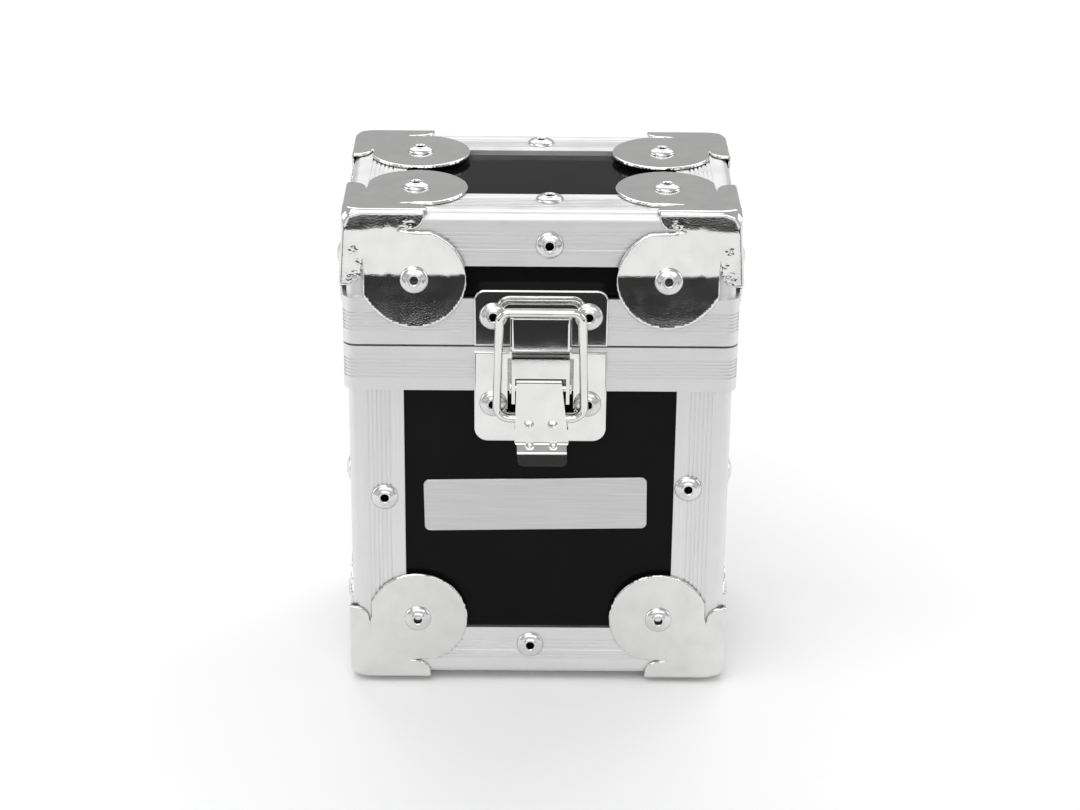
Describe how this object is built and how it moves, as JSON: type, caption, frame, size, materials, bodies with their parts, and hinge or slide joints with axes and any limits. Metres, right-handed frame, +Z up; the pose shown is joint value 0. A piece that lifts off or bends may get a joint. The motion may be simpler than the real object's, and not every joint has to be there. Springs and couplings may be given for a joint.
{
  "type": "cigarette case",
  "caption": "Small upright flight-style case with riveted metal corners and grooved edge profiles, a draw latch in front and a lid hinged at the back.",
  "frame": {"origin": "middle of the outline seen from above, on the surface that the case stands on", "axes": "the front with its latch faces -Y, +X is to the right as seen from the front, +Z is up"},
  "size_m": [0.096, 0.071, 0.124],
  "materials": {
    "panel_laminate": "smooth glossy black laminate",
    "profile_aluminium": "satin anodised, finely grooved along its length",
    "corner_steel": "plated steel, bright and slightly rippled from pressing",
    "rivet_aluminium": "bright domed heads",
    "nameplate_aluminium": "brushed along its length, bare",
    "latch_steel": "polished nickel plate",
    "bail_wire": "polished nickel-plated wire",
    "hinge_steel": "plain plated steel",
    "lining_foam": "black foam with a soft flock face"
  },
  "bodies": {
    "base": {"base_back_panel": "panel_laminate", "base_bottom_panel": "panel_laminate", "base_corner_back_left": "corner_steel", "base_corner_back_right": "corner_steel", "base_corner_front_left": "corner_steel", "base_corner_front_right": "corner_steel", "base_corner_rivets": "rivet_aluminium", "base_edge_profile_back": "profile_aluminium", "base_edge_profile_front": "profile_aluminium", "base_edge_profile_left": "profile_aluminium", "base_edge_profile_right": "profile_aluminium", "base_foot_rivets": "rivet_aluminium", "base_front_panel": "panel_laminate", "base_left_panel": "panel_laminate", "base_lining": "lining_foam", "base_profile_rivets": "rivet_aluminium", "base_right_panel": "panel_laminate", "base_rim_band": "profile_aluminium", "base_upright_back_left": "profile_aluminium", "base_upright_back_right": "profile_aluminium", "base_upright_front_left": "profile_aluminium", "base_upright_front_right": "profile_aluminium", "hinge_base_leaf": "hinge_steel", "hinge_base_rivets": "rivet_aluminium", "hinge_pin": "hinge_steel", "latch_base_plate": "latch_steel", "latch_lever_pin": "hinge_steel", "latch_plate_rivets": "rivet_aluminium", "nameplate": "nameplate_aluminium"},
    "lid": {"catch_plate_rivets": "rivet_aluminium", "hinge_lid_leaf": "hinge_steel", "hinge_lid_rivets": "rivet_aluminium", "latch_catch_plate": "latch_steel", "lid_back_panel": "panel_laminate", "lid_corner_back_left": "corner_steel", "lid_corner_back_right": "corner_steel", "lid_corner_front_left": "corner_steel", "lid_corner_front_right": "corner_steel", "lid_corner_rivets": "rivet_aluminium", "lid_edge_profile_back": "profile_aluminium", "lid_edge_profile_front": "profile_aluminium", "lid_edge_profile_left": "profile_aluminium", "lid_edge_profile_right": "profile_aluminium", "lid_front_panel": "panel_laminate", "lid_left_panel": "panel_laminate", "lid_lining": "lining_foam", "lid_profile_rivets": "rivet_aluminium", "lid_right_panel": "panel_laminate", "lid_rim_band": "profile_aluminium", "lid_top_panel": "panel_laminate", "lid_upright_back_left": "profile_aluminium", "lid_upright_back_right": "profile_aluminium", "lid_upright_front_left": "profile_aluminium", "lid_upright_front_right": "profile_aluminium"},
    "lever": {"latch_lever": "latch_steel"},
    "bail": {"latch_bail": "bail_wire"}
  },
  "joints": [
    {"name": "lid_hinge", "type": "hinge", "parent": "base", "child": "lid", "pos_m": [0, 0.03355, 0.08965], "axis": [-1, 0, 0], "range_deg": [0, 170]},
    {"name": "lever_swing", "type": "hinge", "parent": "base", "child": "lever", "pos_m": [0, -0.03215, 0.0806], "axis": [-1, 0, 0], "range_deg": [0, 110]},
    {"name": "bail_swing", "type": "hinge", "parent": "lever", "child": "bail", "pos_m": [0, -0.03165, 0.0726], "axis": [-1, 0, 0], "range_deg": [-135, 0]}
  ],
  "couplings": [
    {"joint": "bail_swing", "follows": "lever_swing", "ratio": -1.2}
  ]
}
